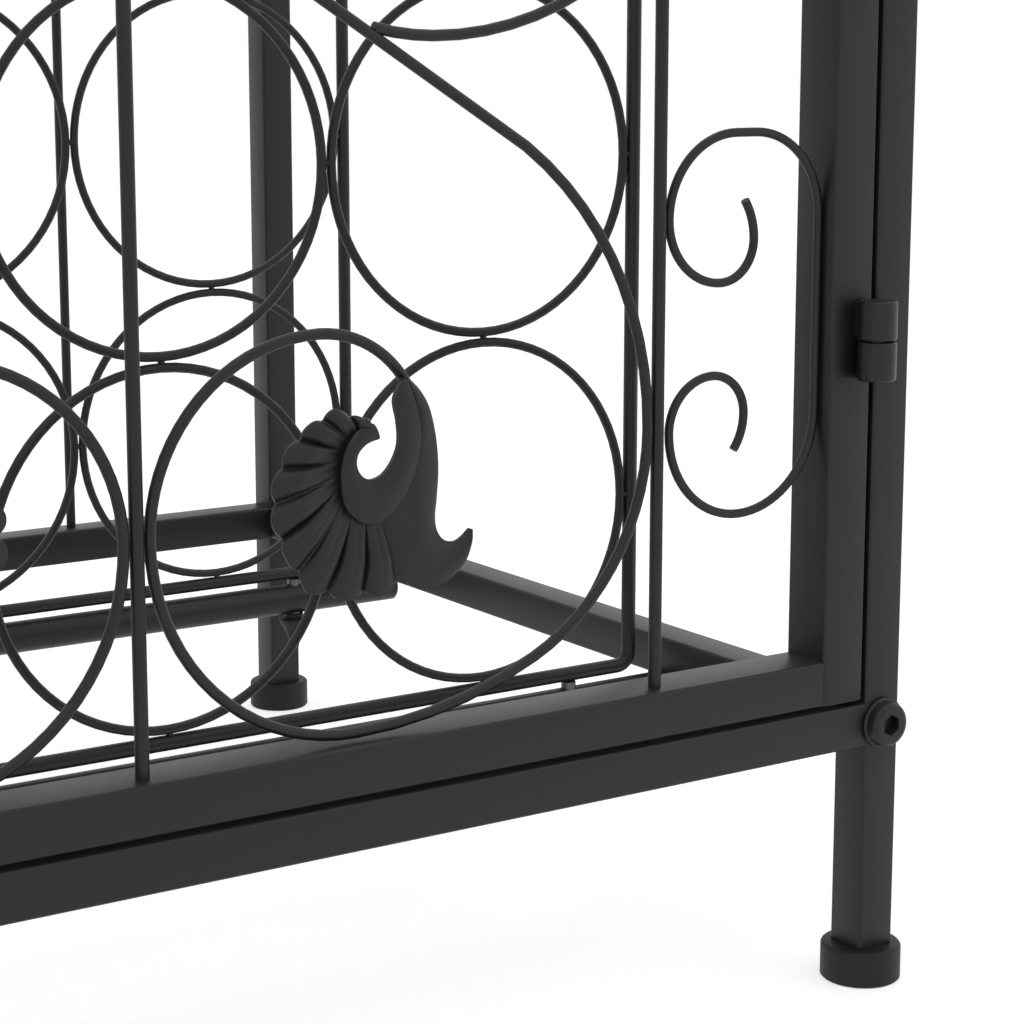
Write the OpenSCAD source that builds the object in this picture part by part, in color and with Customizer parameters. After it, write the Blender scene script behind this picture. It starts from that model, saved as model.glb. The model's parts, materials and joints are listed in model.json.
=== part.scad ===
// Floor-standing wine rack: a square-tube cabinet frame with two planes of welded bottle rings
// and a hinged front door of wire scrolls and pressed leaves.
// Origin: middle of the footprint at floor level. The door faces -Y, +Z is up.

/* [Cabinet] */
// Width over the posts
rack_w = 443; // [370:1:560]
// Depth over the posts
rack_d = 347; // [280:1:440]
// Height to the top of the post caps
rack_h = 1000; // [820:1:1300]
// Height of the lower rails' underside above the floor
rail_z = 67.5; // [55:0.5:100]

/* [Square tube] */
// Side of the posts and the fixed rails
tube = 12; // [11:0.5:16]
// Wall of the posts, the rails and the door frame
tube_wall = 1; // [0.8:0.1:1.4]
// Diameter of the upright rods in the back
rear_rod_d = 3.3; // [2.5:0.1:5]
// Distance between two rods in the back
rear_rod_pitch = 87; // [60:1:110]
// Number of rods in the back
rear_rod_count = 4; // [2:1:4]

/* [Feet and caps] */
// Diameter of the feet
foot_d = 22; // [20:0.5:30]
// Height of the feet
foot_h = 10; // [8:0.5:16]
// Thickness of the foot under the post
foot_floor = 3; // [2:0.5:5]
// Thickness of the head of the post caps
cap_t = 1.5; // [1:0.1:1.6]

/* [Bottle racks] */
// Outer diameter of a bottle ring
ring_d = 99; // [90:0.5:110]
// Wire of the bottle rings
ring_wire = 2.65; // [2:0.05:4]
// Wire of the rectangle around the rings
rack_wire = 4.2; // [3:0.1:6]
// Front face of the cabinet to the front rack's wire centre
front_rack_y = 94.3; // [70:0.1:110]
// Back face of the cabinet to the rear rack's wire centre
rear_rack_y = 86.1; // [70:0.1:110]
// Gap between the crossbar and the bottom wire of a rack
rack_lift = 1.9; // [1:0.1:4]
// Diameter of the crossbars
bar_d = 10.4; // [9:0.1:14]
// Setback of the crossbar's ends from the outer face of the side rails
bar_setback = 3; // [1:0.5:5]

/* [Rack fixings] */
// Diameter of the threaded studs
stud_d = 4.3; // [3:0.1:5]
// Side wire of the rack to the stud
stud_inset = 21.7; // [15:0.1:40]
// Largest diameter of the tapered nuts below
cone_d = 10.7; // [9:0.1:13]
// Smallest diameter of the tapered nuts
cone_tip_d = 3; // [2:0.1:4]
// Height of the tapered nuts
cone_h = 11; // [9:0.5:16]
// Height of their collar
cone_neck = 1.6; // [1:0.1:3]
// Width across corners of the cap nuts on top
cap_nut_d = 8; // [7:0.1:9]

/* [Bolts] */
// Shank of the frame bolts
bolt_d = 5.8; // [4.8:0.1:6]
// Largest diameter of the button head
bolt_head_d = 13.9; // [10:0.1:16]
// Face of the button head
bolt_face_d = 11.3; // [8:0.1:12]
// Height of the button head
bolt_head_h = 4.1; // [3:0.1:5]
// Hexagon socket across corners
bolt_hex_d = 5.8; // [4:0.1:7]
// Length of the threaded inserts in the side rails
insert_l = 12; // [8:1:20]

/* [Door frame] */
// Gap around the door
door_gap = 1.4; // [1.2:0.1:3]
// Depth of the door frame
door_d = 15; // [13:0.5:18]
// Width of the stiles
stile_w = 13.7; // [12:0.1:18]
// Height of the door rails
door_rail_h = 12; // [10:0.5:18]
// Diameter of the upright rods in the door
rod_d = 3.3; // [2.5:0.1:4.5]
// Inner face of a stile to the axis of the side rod
side_bay = 52.2; // [44:0.1:62]
// Front of the door to the middle of the ornament wires
wire_y = 5; // [5:0.1:8]

/* [Door ornament] */
// Wire of the large scrolls and rings
scroll_wire = 2.7; // [2:0.1:3.2]
// Wire of the side curls
curl_wire = 2.3; // [1.8:0.1:3]
// Height of the middle of the end curls above the bottom rail
curl_z = 90.7; // [80:0.1:120]
// Thickness of the pressed leaves
leaf_t = 2.2; // [1.5:0.1:3]
// Size of the pressed leaves, 1 is 54 mm across
leaf_size = 1; // [0.8:0.05:1.1]

/* [Hinges and latch] */
// Diameter of the hinge barrels
barrel_d = 10.2; // [8:0.1:12]
// Length of a hinge, both knuckles
hinge_h = 20.8; // [16:0.1:40]
// Hinge pin
pin_d = 5; // [4:0.1:5.5]
// Underside of the door to the middle of the lower hinge
hinge_rise = 97.3; // [50:0.1:150]
// Edge of the door to the hinge axis
hinge_inset = 2.9; // [2:0.1:4]
// Length of the turn latch from its pivot
latch_l = 30; // [24:1:40]
// Width of the turn latch
latch_w = 11; // [8:0.5:11.5]
// Pivot of the latch above the middle of the door
latch_rise = 90; // [60:1:150]
// Diameter of the door knob
knob_d = 12; // [10:0.5:13]
// Length of the door knob
knob_l = 10; // [8:0.5:10]

/* [Hidden] */
$fn = 48;

powder = [0.10, 0.10, 0.10];      // powder coat
zinc = [0.55, 0.55, 0.56];
plastic = [0.07, 0.07, 0.07];

through = 0.5;      // how far a cut runs past a face
weld_gap = 0.1;     // between two wires that are welded side by side
seat = 0.25;        // between an ornament and the part that carries it
run_gap = 0.05;     // radial clearance of a pin or thread in its bore
slip = 0.2;         // clearance of what slides into a tube or a foot
hole_gap = 0.3;     // radial clearance of a bolt or stud in a drilled wall

// posts and rails
post_x = (rack_w - tube) / 2;
post_y = (rack_d - tube) / 2;
post_top = rack_h - cap_t;
front_y = -rack_d / 2;
rail_mid_z = rail_z + tube / 2;
top_rail_z = rack_h - tube;
top_mid_z = top_rail_z + tube / 2;
bolt_reach = tube + insert_l - 1;

// bottle racks: as many rings as fit between the posts and between the crossbars
ring_pitch = ring_d + 2 * weld_gap;
bar_low_z = rail_z - bar_d / 2;
bar_high_z = top_rail_z - bar_d / 2;
rack_low_z = rail_z + rack_lift + rack_wire / 2;
ring_columns = floor((rack_w - 2 * tube - 2 * rack_wire - 4) / ring_pitch);
ring_rows = floor((bar_high_z - bar_d / 2 - rack_low_z - 1.5 * rack_wire - rack_lift) / ring_pitch);
rack_half_w = ring_columns * ring_pitch / 2 + rack_wire / 2;
rack_high_z = rack_low_z + ring_rows * ring_pitch + rack_wire;
front_rack = front_y + front_rack_y;
rear_rack = rack_d / 2 - rear_rack_y;
stud_x = rack_half_w - stud_inset;
cone_top_z = bar_low_z - bar_d / 2 - cone_neck;

// door
door_x = rack_w / 2 - tube - door_gap;
door_low_z = rail_z + tube + door_gap;
door_high_z = top_rail_z - door_gap;
door_mid_z = (door_low_z + door_high_z) / 2;
stile_x = door_x - stile_w;
rail_top_z = door_low_z + door_rail_h;
wire_plane = front_y + wire_y;
side_rod_x = stile_x - side_bay;

// scroll of the wide bay: [radius, angle] of each arc, or [length, 0] of a straight, drawn for a
// width of 136.2 between the middles of its outermost wires
scroll_arcs = [[27, 60], [43, 90], [51.4, 90], [120, 25], [59, 65], [86, 55], [560, 7],
  [77.6, -62], [68.1, -180], [33, 0], [40, -62], [88, -28], [70, -9]];
scroll_draw_w = 136.2;
wire_step = 12;                   // largest turn between two stations of a wire, in degrees
wire_sides = 8;
scroll_start = [66.4, 81.1];      // its inner end from the left extreme and from its lowest point
scroll_heading = 120;
scroll_draw_h = 307.9;
bay_w = side_rod_x - rod_d;       // clear width between two rods
scroll_scale = (bay_w - 2 * weld_gap - scroll_wire) / scroll_draw_w;
scroll_left_x = rod_d / 2 + weld_gap + scroll_wire / 2;
scroll_low_z = rail_top_z + seat + scroll_wire / 2;
scroll_high_z = scroll_low_z + scroll_draw_h * scroll_scale + scroll_wire / 2;

// curl of the narrow side bay
curl_arcs = [[16.6, -35], [10.3, -90], [15.9, -90], [20.4, -90], [6, 0], [20.3, -90], [49.9, 0],
  [24, -90], [22, -90], [13.2, -90], [10, -90], [14.5, -38]];
curl_draw_w = 46.7;
curl_start = [23.2, 30.6];        // its upper end from the left extreme and from mid-height
curl_heading = -55;
curl_scale = (side_bay - rod_d / 2 - 2 * weld_gap - curl_wire) / curl_draw_w;
curl_left_x = side_rod_x + rod_d / 2 + weld_gap + curl_wire / 2;

// rings between the lower and the upper scroll
middle_gap = 2 * (door_mid_z - scroll_high_z);
bay_ring_d = bay_w - 4 * weld_gap;
big_ring_d = min(bay_ring_d, 0.53 * middle_gap);
small_ring_d = min((middle_gap - big_ring_d) / 2 - 2 * seat, bay_ring_d);
small_ring_rise = big_ring_d / 2 + (middle_gap - big_ring_d) / 4;

// leaf: its middle from the inner end of the scroll
leaf_shift = [-11.9, -24.4];
leaf_back = wire_plane - scroll_wire / 2 - seat;

// hinges and latch
hinge_x = door_x - hinge_inset;
hinge_y = front_y - barrel_d / 2 - 0.3;
knuckle_gap = 0.4;
knuckle_h = (hinge_h - knuckle_gap) / 2;
hinge_low_z = door_low_z + hinge_rise;
hinge_high_z = door_high_z - hinge_rise;
pin_end = 2;                      // closed end of a knuckle
latch_z = door_mid_z + latch_rise;
latch_t = 2;
latch_boss = 1;
latch_screw_d = 4.4;

// a point that every post-like piece repeats at
module at_corner(x, y) { translate([x * post_x, y * post_y, 0]) children(); }

module square_tube(length, w, d) {
  // runs along Z from 0, centred on X and Y
  difference() {
    translate([-w / 2, -d / 2, 0]) cube([w, d, length]);
    translate([-w / 2 + tube_wall, -d / 2 + tube_wall, -through])
      cube([w - 2 * tube_wall, d - 2 * tube_wall, length + 2 * through]);
  }
}

module rod(d, z_low, z_high) { translate([0, 0, z_low]) cylinder(d = d, h = z_high - z_low); }

module ring(outer_d, wire_d) {
  rotate([90, 0, 0]) rotate_extrude() translate([(outer_d - wire_d) / 2, 0]) circle(d = wire_d);
}

// a bent wire in the XY plane, starting at the origin along +X: where it is and which way it heads
// after turning by a, and the stations along all its arcs and straights
function turned(p, h, r, a) = a == 0
  ? [p + r * [cos(h), sin(h)], h]
  : [p + sign(a) * r * [sin(h + a) - sin(h), cos(h) - cos(h + a)], h + a];
function stations(arcs, size, p = [0, 0], h = 0, i = 0) = i == len(arcs) ? [[p, h]] :
  let (r = arcs[i][0] * size, a = arcs[i][1], n = max(1, ceil(abs(a) / wire_step)))
  concat([for (k = [0 : n - 1]) k == 0 ? [p, h] : turned(p, h, r, a * k / n)],
    let (last = turned(p, h, r, a)) stations(arcs, size, last[0], last[1], i + 1));

module bent_wire(arcs, size, d) {
  route = stations(arcs, size);
  n = wire_sides;
  ends = len(route) - 1;
  points = [for (s = route, j = [0 : n - 1]) let (side = d / 2 * cos(360 * j / n))
    [s[0][0] - side * sin(s[1]), s[0][1] + side * cos(s[1]), d / 2 * sin(360 * j / n)]];
  skin = [for (i = [0 : ends - 1], j = [0 : n - 1]) let (k = (j + 1) % n)
    [i * n + j, i * n + k, (i + 1) * n + k, (i + 1) * n + j]];
  polyhedron(points, concat(skin,
    [[for (j = [n - 1 : -1 : 0]) j], [for (j = [0 : n - 1]) ends * n + j]]));
}

module mirror_x(on) { if (on) mirror([1, 0, 0]) children(); else children(); }
module flip_z(on) {
  if (on) translate([0, 0, 2 * door_mid_z]) mirror([0, 0, 1]) children();
  else children();
}

// posts, with the two bolt holes that run from front to back
module post(x, y) {
  color(powder) at_corner(x, y) difference() {
    translate([0, 0, foot_floor]) square_tube(post_top - foot_floor, tube, tube);
    for (z = [rail_mid_z, top_mid_z]) translate([0, tube, z]) rotate([90, 0, 0])
      cylinder(d = bolt_d + 2 * hole_gap, h = 2 * tube);
    if (x < 0 && y < 0) translate([0, 0, latch_z]) rotate([90, 0, 0])
      cylinder(d = latch_screw_d + 2 * run_gap, h = tube);
  }
}

module cross_rail(y, z) {
  length = rack_w - 2 * tube;
  color(powder) translate([-length / 2, y * post_y, z + tube / 2]) rotate([0, 90, 0])
    square_tube(length, tube, tube);
}

module side_rail(x, z) {
  length = rack_d - 2 * tube;
  color(powder) translate([x * post_x, length / 2, z + tube / 2]) rotate([90, 0, 0])
    square_tube(length, tube, tube);
}

module rear_rods() {
  color(powder) for (i = [0 : rear_rod_count - 1])
    translate([(i - (rear_rod_count - 1) / 2) * rear_rod_pitch, post_y, 0])
      rod(rear_rod_d, rail_z + tube, top_rail_z);
}

// round bar under two side rails, drilled for the studs
module crossbar(y, z) {
  length = rack_w - 2 * bar_setback;
  color(powder) translate([0, y, z]) difference() {
    rotate([0, 90, 0]) cylinder(d = bar_d, h = length, center = true);
    rotate([0, 90, 0]) cylinder(d = bar_d - 2 * tube_wall, h = length + 2 * through, center = true);
    for (x = [-stud_x, stud_x]) translate([x, 0, -bar_d])
      cylinder(d = stud_d + 2 * hole_gap, h = 2 * bar_d);
  }
}

module rack_frame(y) {
  height = rack_high_z - rack_low_z;
  color(powder) translate([0, y, 0]) {
    for (x = [-rack_half_w, rack_half_w]) translate([x, 0, 0]) {
      rod(rack_wire, rack_low_z, rack_high_z);
      for (z = [rack_low_z, rack_high_z]) translate([0, 0, z]) sphere(d = rack_wire + 0.04);
    }
    for (z = [rack_low_z, rack_high_z]) translate([0, 0, z]) rotate([0, 90, 0])
      cylinder(d = rack_wire, h = 2 * rack_half_w, center = true);
  }
}

module rack_rings(y) {
  color(powder) for (column = [0 : ring_columns - 1], row = [0 : ring_rows - 1])
    translate([(column - (ring_columns - 1) / 2) * ring_pitch, y,
      rack_low_z + rack_wire / 2 + (row + 0.5) * ring_pitch]) ring(ring_d, ring_wire);
}

module at_studs() { for (x = [-stud_x, stud_x], y = [front_rack, rear_rack]) translate([x, y, 0]) children(); }

// studs below and above each rack; the lower ones end inside the tapered nuts
module rack_studs() {
  color(zinc) at_studs() {
    rod(stud_d, cone_top_z - cone_h / 3, rack_low_z - rack_wire / 2 - weld_gap);
    rod(stud_d, rack_high_z + rack_wire / 2 + weld_gap, bar_high_z + bar_d / 2 + 3);
  }
}

module cone_nuts() {
  waist = cone_d * 0.62;
  color(plastic) at_studs() translate([0, 0, cone_top_z]) difference() {
    union() {
      cylinder(d = cone_d * 0.6, h = cone_neck - weld_gap);
      translate([0, 0, -1]) cylinder(d = cone_d, h = 1);
      translate([0, 0, -cone_h * 0.5]) cylinder(d1 = waist, d2 = cone_d, h = cone_h * 0.5 - 1);
      translate([0, 0, -cone_h]) cylinder(d1 = cone_tip_d, d2 = waist, h = cone_h * 0.5);
    }
    translate([0, 0, -cone_h / 3 - through]) cylinder(d = stud_d + 2 * run_gap, h = cone_h);
  }
}

module cap_nuts() {
  color(zinc) at_studs() translate([0, 0, bar_high_z + bar_d / 2 + weld_gap]) difference() {
    union() {
      cylinder(d = cap_nut_d, h = 3, $fn = 6);
      translate([0, 0, 3]) cylinder(d1 = cap_nut_d * 0.82, d2 = cap_nut_d * 0.4, h = 2.4);
    }
    translate([0, 0, -through]) cylinder(d = stud_d + 2 * run_gap, h = 3 + 2 * through);
  }
}

module foot(x, y) {
  rim = 1;
  socket = tube + slip;
  color(plastic) at_corner(x, y) difference() {
    union() {
      cylinder(d = foot_d, h = foot_h - rim);
      translate([0, 0, foot_h - rim]) cylinder(d1 = foot_d, d2 = foot_d - 2 * rim, h = rim);
    }
    translate([-socket / 2, -socket / 2, foot_floor]) cube([socket, socket, foot_h]);
  }
}

module post_caps() {
  stem = tube - 2 * tube_wall - 2 * slip;
  stem_h = 1.2;
  color(plastic) for (x = [-1, 1], y = [-1, 1]) at_corner(x, y) {
    translate([-tube / 2, -tube / 2, post_top]) cube([tube, tube, cap_t]);
    translate([-stem / 2, -stem / 2, post_top - stem_h]) cube([stem, stem, stem_h]);
  }
}

// children stand at each bolt with +Z pointing out of the cabinet
module at_bolts() {
  for (x = [-1, 1], y = [-1, 1], z = [rail_mid_z, top_mid_z])
    translate([x * post_x, y * rack_d / 2, z]) rotate([-y * 90, 0, 0]) children();
}

module frame_bolts() {
  rim = 1;
  color(powder) at_bolts() difference() {
    union() {
      translate([0, 0, -bolt_reach]) cylinder(d = bolt_d, h = bolt_reach);
      cylinder(d = bolt_head_d, h = rim);
      translate([0, 0, rim]) cylinder(d1 = bolt_head_d - rim, d2 = bolt_face_d, h = bolt_head_h - rim);
    }
    translate([0, 0, bolt_head_h / 3]) rotate([0, 0, 30]) cylinder(d = bolt_hex_d, h = bolt_head_h, $fn = 6);
  }
}

module rail_inserts() {
  side = tube - 2 * tube_wall - 2 * slip;
  color(zinc) at_bolts() translate([0, 0, -tube - insert_l]) difference() {
    translate([-side / 2, -side / 2, 0]) cube([side, side, insert_l]);
    translate([0, 0, -through]) cylinder(d = bolt_d + 2 * run_gap, h = insert_l + 2 * through);
  }
}

module at_hinges() { for (z = [hinge_low_z, hinge_high_z]) translate([hinge_x, hinge_y, z]) children(); }

// lower knuckle of each hinge, with a foot that reaches over to the post
module post_knuckles() {
  foot_x = barrel_d / 2 - 1.4;
  face_y = front_y - hinge_y;
  color(powder) at_hinges() translate([0, 0, -knuckle_gap / 2 - knuckle_h]) difference() {
    union() {
      cylinder(d = barrel_d, h = knuckle_h);
      translate([foot_x, 2, 0]) cube([hinge_inset + door_gap + 4 - foot_x, face_y - 2, knuckle_h]);
    }
    translate([0, 0, pin_end]) cylinder(d = pin_d + 2 * run_gap, h = knuckle_h);
  }
}

// upper knuckle, with a pad on the front of the hinge stile
module door_knuckles() {
  pad_w = barrel_d * 0.6;
  face_y = front_y - hinge_y;
  color(powder) at_hinges() translate([0, 0, knuckle_gap / 2]) difference() {
    union() {
      cylinder(d = barrel_d, h = knuckle_h);
      translate([-pad_w + hinge_inset - 0.5, 2.5, 0]) cube([pad_w, face_y - 2.5, knuckle_h]);
    }
    translate([0, 0, -through]) cylinder(d = pin_d + 2 * run_gap, h = knuckle_h - pin_end + through);
  }
}

module hinge_pins() {
  length = hinge_h - 2 * pin_end - 2 * run_gap;
  color(zinc) at_hinges() cylinder(d = pin_d, h = length, center = true);
}

// tabs on the latch-side post that the closed door rests against
module door_stops() {
  tab_t = 2;
  tab_h = 16;
  post_back = front_y + tube;
  door_back = front_y + door_d + seat;
  color(powder) for (z = [hinge_low_z, hinge_high_z]) translate([0, 0, z - tab_h / 2]) {
    translate([-post_x - 4, door_back, 0]) cube([tube + 4, tab_t, tab_h]);
    translate([-post_x - 4, post_back, 0]) cube([8, door_back - post_back, tab_h]);
  }
}

// door stile: a closed-end tube with vent holes into the two rails
module stile(x) {
  color(powder) translate([x * (door_x - stile_w / 2), front_y + door_d / 2, 0]) difference() {
    translate([-stile_w / 2, -door_d / 2, door_low_z]) cube([stile_w, door_d, door_high_z - door_low_z]);
    translate([-stile_w / 2 + tube_wall, -door_d / 2 + tube_wall, door_low_z + tube_wall])
      cube([stile_w - 2 * tube_wall, door_d - 2 * tube_wall, door_high_z - door_low_z - 2 * tube_wall]);
    for (z = [door_low_z + door_rail_h / 2, door_high_z - door_rail_h / 2])
      translate([0, 0, z]) rotate([0, -x * 90, 0]) cylinder(d = 6, h = stile_w);
  }
}

module door_rail(z) {
  color(powder) translate([-stile_x, front_y + door_d / 2, z]) rotate([0, 90, 0])
    square_tube(2 * stile_x, door_rail_h, door_d);
}

module door_rod(x) { translate([x, wire_plane, 0]) rod(rod_d, rail_top_z, door_high_z - door_rail_h); }

module centre_rod() { color(powder) door_rod(0); }

module side_rods() { color(powder) for (x = [-side_rod_x, side_rod_x]) door_rod(x); }

module scroll(left, upper) {
  start = scroll_start * scroll_scale;
  color(powder) flip_z(upper) mirror_x(left)
    translate([scroll_left_x + start[0], wire_plane, scroll_low_z + start[1]])
      rotate([90, 0, 0]) rotate([0, 0, scroll_heading]) bent_wire(scroll_arcs, scroll_scale, scroll_wire);
}

module middle_rings(left) {
  color(powder) mirror_x(left) translate([side_rod_x / 2, wire_plane, door_mid_z]) {
    ring(big_ring_d, scroll_wire);
    for (z = [-small_ring_rise, small_ring_rise]) translate([0, 0, z]) ring(small_ring_d, scroll_wire);
  }
}

module curl(left, z, upside_down) {
  start = curl_start * curl_scale;
  color(powder) mirror_x(left) translate([curl_left_x, wire_plane, z]) mirror([0, 0, upside_down ? 1 : 0])
    translate([start[0], 0, start[1]]) rotate([90, 0, 0]) rotate([0, 0, curl_heading])
      bent_wire(curl_arcs, curl_scale, curl_wire);
}

// outline of the pressed leaf: a round body, a fan of petals, a curled tail and an open eye
module leaf_outline() {
  petals = 9;
  difference() {
    union() {
      translate([-1, -2]) circle(r = 20);
      for (i = [0 : petals - 1]) rotate(108 + i * 21) {
        translate([20.5, 0]) circle(r = 5);
        polygon([[0, -1], [20, -4.5], [20, 4.5], [0, 1]]);
      }
      difference() {
        translate([14, -12]) circle(r = 13);
        translate([19, -4]) circle(r = 11);
      }
      intersection() {
        translate([-8, 4]) circle(r = 27);
        polygon([[0, 0], [10, 26.5], [30, 26], [30, -6]]);
      }
    }
    translate([0, 9]) circle(r = 5.5);
    translate([-1, 9]) square([4, 20]);
  }
}

module leaf(left, upper) {
  start = (scroll_start + leaf_shift) * scroll_scale;
  color(powder) flip_z(upper) mirror_x(left)
    translate([scroll_left_x + start[0], leaf_back, scroll_low_z + start[1]])
      rotate([90, 0, 0]) linear_extrude(leaf_t) scale(leaf_size) leaf_outline();
}

module door_knob() {
  neck_h = knob_l * 0.4;
  color(powder) translate([-door_x + stile_w / 2, front_y, door_mid_z]) rotate([90, 0, 0]) {
    cylinder(d = knob_d * 0.8, h = 1);
    cylinder(d = knob_d * 0.5, h = neck_h);
    translate([0, 0, neck_h]) cylinder(d1 = knob_d * 0.7, d2 = knob_d, h = knob_l * 0.2);
    translate([0, 0, neck_h + knob_l * 0.2]) cylinder(d = knob_d, h = knob_l * 0.2);
    translate([0, 0, neck_h + knob_l * 0.4]) cylinder(d1 = knob_d, d2 = knob_d * 0.7, h = knob_l * 0.2);
  }
}

// children stand on the post's face at the latch pivot with +Z pointing out of the cabinet
module at_latch() { translate([-post_x, front_y, latch_z]) rotate([90, 0, 0]) children(); }

module turn_latch() {
  color(powder) at_latch() translate([0, 0, seat]) difference() {
    union() {
      cylinder(d = latch_w - 2, h = latch_boss);
      translate([0, 0, latch_boss]) cylinder(d = latch_w, h = latch_t);
      translate([-latch_w / 2, -latch_l + latch_w / 2, latch_boss])
        cube([latch_w, latch_l - latch_w / 2, latch_t]);
      translate([0, -latch_l + latch_w / 2, latch_boss]) cylinder(d = latch_w, h = latch_t);
    }
    translate([0, 0, -through]) cylinder(d = latch_screw_d + 2 * run_gap, h = latch_t + latch_boss + 2 * through);
  }
}

module latch_screw() {
  head_z = latch_t + latch_boss + 2 * seat;
  color(zinc) at_latch() {
    translate([0, 0, -tube / 2]) cylinder(d = latch_screw_d, h = tube / 2 + head_z);
    difference() {
      translate([0, 0, head_z]) cylinder(d1 = 8, d2 = 6.4, h = 1.8);
      translate([-0.5, -5, head_z + 1]) cube([1, 10, 2]);
    }
  }
}

post(-1, -1);  // front_left_post
post(1, -1);  // front_right_post
post(-1, 1);  // rear_left_post
post(1, 1);  // rear_right_post
cross_rail(-1, rail_z);  // front_bottom_rail
cross_rail(-1, top_rail_z);  // front_top_rail
cross_rail(1, rail_z);  // rear_bottom_rail
cross_rail(1, top_rail_z);  // rear_top_rail
side_rail(-1, rail_z);  // left_bottom_rail
side_rail(1, rail_z);  // right_bottom_rail
side_rail(-1, top_rail_z);  // left_top_rail
side_rail(1, top_rail_z);  // right_top_rail
rear_rods();
crossbar(front_rack, bar_low_z);  // front_lower_crossbar
crossbar(rear_rack, bar_low_z);  // rear_lower_crossbar
crossbar(front_rack, bar_high_z);  // front_upper_crossbar
crossbar(rear_rack, bar_high_z);  // rear_upper_crossbar
rack_frame(front_rack);  // front_rack_frame
rack_frame(rear_rack);  // rear_rack_frame
rack_rings(front_rack);  // front_rack_rings
rack_rings(rear_rack);  // rear_rack_rings
rack_studs();
cone_nuts();
cap_nuts();
foot(-1, -1);  // front_left_foot
foot(1, -1);  // front_right_foot
foot(-1, 1);  // rear_left_foot
foot(1, 1);  // rear_right_foot
post_caps();
frame_bolts();
rail_inserts();
post_knuckles();
hinge_pins();
latch_screw();
door_stops();
stile(-1);  // latch_stile
stile(1);  // hinge_stile
door_rail(door_low_z + door_rail_h / 2);  // door_bottom_rail
door_rail(door_high_z - door_rail_h / 2);  // door_top_rail
centre_rod();
side_rods();
scroll(true, false);  // lower_left_scroll
scroll(false, false);  // lower_right_scroll
scroll(true, true);  // upper_left_scroll
scroll(false, true);  // upper_right_scroll
middle_rings(true);  // left_middle_rings
middle_rings(false);  // right_middle_rings
curl(true, rail_top_z + curl_z, false);  // lower_left_curl
curl(false, rail_top_z + curl_z, false);  // lower_right_curl
curl(true, door_mid_z, false);  // middle_left_curl
curl(false, door_mid_z, false);  // middle_right_curl
curl(true, door_high_z - door_rail_h - curl_z, true);  // upper_left_curl
curl(false, door_high_z - door_rail_h - curl_z, true);  // upper_right_curl
leaf(true, false);  // lower_left_leaf
leaf(false, false);  // lower_right_leaf
leaf(true, true);  // upper_left_leaf
leaf(false, true);  // upper_right_leaf
door_knuckles();
door_knob();
turn_latch();
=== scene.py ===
import json
import math

import bmesh
import bpy
from mathutils import Matrix, Vector


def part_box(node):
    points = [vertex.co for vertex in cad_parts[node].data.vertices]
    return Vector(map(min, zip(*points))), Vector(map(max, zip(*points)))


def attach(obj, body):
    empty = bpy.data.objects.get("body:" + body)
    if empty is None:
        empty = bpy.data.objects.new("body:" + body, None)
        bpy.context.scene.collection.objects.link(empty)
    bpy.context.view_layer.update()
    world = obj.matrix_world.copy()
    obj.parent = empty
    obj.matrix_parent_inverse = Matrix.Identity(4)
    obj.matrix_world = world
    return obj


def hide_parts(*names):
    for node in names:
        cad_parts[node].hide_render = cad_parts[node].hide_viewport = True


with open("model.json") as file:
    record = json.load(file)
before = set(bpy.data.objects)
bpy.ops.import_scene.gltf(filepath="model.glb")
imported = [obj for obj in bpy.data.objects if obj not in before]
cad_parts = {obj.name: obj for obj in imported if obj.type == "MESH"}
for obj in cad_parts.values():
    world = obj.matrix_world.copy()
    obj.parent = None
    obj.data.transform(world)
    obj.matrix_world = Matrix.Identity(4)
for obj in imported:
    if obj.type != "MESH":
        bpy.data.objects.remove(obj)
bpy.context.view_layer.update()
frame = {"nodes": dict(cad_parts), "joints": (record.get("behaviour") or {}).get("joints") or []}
mm = 0.001
print("frame loaded")


def span(node):
    low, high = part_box(node)
    return Vector(low), Vector(high)


# shader groups and materials

def newShaderGroup(name, inputs, outputs):
    tree = bpy.data.node_groups.new(name, "ShaderNodeTree")
    for label, kind, value in inputs:
        tree.interface.new_socket(name=label, in_out="INPUT", socket_type=kind).default_value = value
    for label, kind in outputs:
        tree.interface.new_socket(name=label, in_out="OUTPUT", socket_type=kind)
    return tree, tree.nodes.new("NodeGroupInput"), tree.nodes.new("NodeGroupOutput")


def noiseNode(tree, where, scale, detail):
    tex = tree.nodes.new("ShaderNodeTexNoise")
    tex.inputs["Detail"].default_value = detail
    tree.links.new(where, tex.inputs["Vector"])
    tree.links.new(scale, tex.inputs["Scale"])
    return tex.outputs["Fac"]


def mapRange(tree, value, low, high):
    node = tree.nodes.new("ShaderNodeMapRange")
    node.inputs["From Min"].default_value = 0.3
    node.inputs["From Max"].default_value = 0.7
    tree.links.new(value, node.inputs["Value"])
    for socket, source in (("To Min", low), ("To Max", high)):
        tree.links.new(source, node.inputs[socket])
    return node.outputs["Result"]


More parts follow.
